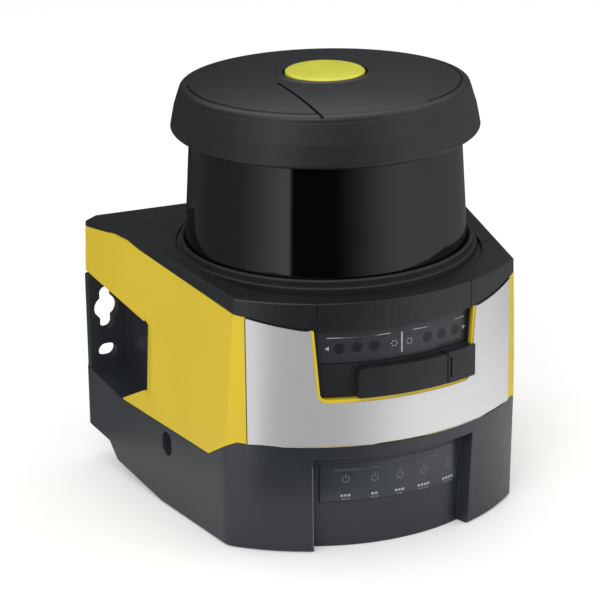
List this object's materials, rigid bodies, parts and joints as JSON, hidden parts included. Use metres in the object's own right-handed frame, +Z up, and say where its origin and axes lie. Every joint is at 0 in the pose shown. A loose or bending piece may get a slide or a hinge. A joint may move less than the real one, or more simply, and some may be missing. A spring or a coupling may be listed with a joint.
{
  "type": "safety laser scanner",
  "caption": "Compact safety laser scanner with a rotating mirror behind a round dark window, a display, a hinged service cover and a plug-in base with mounting ears",
  "frame": {"origin": "on the scan axis, in the plane of the base's underside", "axes": "+Z up along the scan axis, -Y towards the display, +Y towards the mounting face"},
  "size_m": [0.1392, 0.1194, 0.149],
  "materials": {
    "yellow_paint": "satin paint on a cast shell",
    "silver_film": "satin brushed film",
    "charcoal_plastic": "fine matte texture",
    "lemon_plastic": "smooth, slightly glossy",
    "black_window": "polished, passes infrared only",
    "smoked_pane": "smoked, glossy",
    "grey_paint": "fine powder coat on cast aluminium",
    "dark_plastic": "moulded",
    "steel": "zinc plated",
    "cast_aluminium": "bead blasted",
    "circuit_board": "solder mask",
    "rubber_seal": "soft",
    "clear_lens": "polished",
    "mirror_face": "first-surface mirror",
    "copper": "varnished windings and contacts",
    "lamp_plastic": "milky light guide"
  },
  "bodies": {
    "base": {"cap": "charcoal_plastic", "cap_disc": "lemon_plastic", "cap_gasket": "rubber_seal", "window": "black_window", "window_gasket": "rubber_seal", "window_ring": "charcoal_plastic", "housing": "yellow_paint", "front_film": "silver_film", "top_cover": "charcoal_plastic", "visor": "charcoal_plastic", "display_carrier": "dark_plastic", "display_window": "smoked_pane", "display_module": "dark_plastic", "display_lamps": "lamp_plastic", "display_board": "circuit_board", "usb_hinge_pin": "steel", "usb_socket": "steel", "floor_plate": "cast_aluminium", "board_spacers": "steel", "main_board": "circuit_board", "power_board": "circuit_board", "chassis": "cast_aluminium", "motor_flange": "cast_aluminium", "motor_bearings": "steel", "motor_stator": "copper", "encoder_sensor": "dark_plastic", "optics_bracket": "cast_aluminium", "lens_barrel": "dark_plastic", "receiver_lens": "clear_lens", "transmitter_tube": "cast_aluminium", "collimator_lens": "clear_lens", "laser_diode": "copper", "receiver_board": "circuit_board", "flex_cable": "copper", "monitor_board": "circuit_board", "monitor_sensors": "dark_plastic", "unit_plug": "dark_plastic", "unit_seal": "rubber_seal", "lock_tongues": "steel", "connection_unit": "grey_paint", "base_plate": "grey_paint", "base_screws": "steel", "interface_board": "circuit_board", "unit_socket": "dark_plastic", "lamp_window": "smoked_pane", "signal_lamps": "lamp_plastic", "lamp_board": "circuit_board", "power_plug": "steel", "network_plugs": "steel", "pressure_vent": "rubber_seal", "memory_module": "dark_plastic"},
    "scan_rotor": {"motor_rotor": "steel", "motor_shaft": "steel", "encoder_disc": "steel", "mirror_holder": "dark_plastic", "scan_mirror": "mirror_face"},
    "usb_flap": {"usb_cover": "dark_plastic"},
    "left_lock": {"lock_screw_left": "steel"},
    "right_lock": {"lock_screw_right": "steel"}
  },
  "joints": [
    {"name": "mirror_spin", "type": "hinge", "parent": "base", "child": "scan_rotor", "pos_m": [0, 0, 0.1], "axis": [0, 0, 1], "continuous": true},
    {"name": "usb_flap_hinge", "type": "hinge", "parent": "base", "child": "usb_flap", "pos_m": [0.01735, -0.06042, 0.061], "axis": [0, 0, 1], "range_deg": [0, 90]},
    {"name": "left_lock_turn", "type": "hinge", "parent": "base", "child": "left_lock", "pos_m": [-0.05342, -0.0006, 0.0238], "axis": [-1, 0, 0], "range_deg": [-90, 0]},
    {"name": "right_lock_turn", "type": "hinge", "parent": "base", "child": "right_lock", "pos_m": [0.05342, -0.0006, 0.0238], "axis": [1, 0, 0], "range_deg": [-90, 0]}
  ]
}
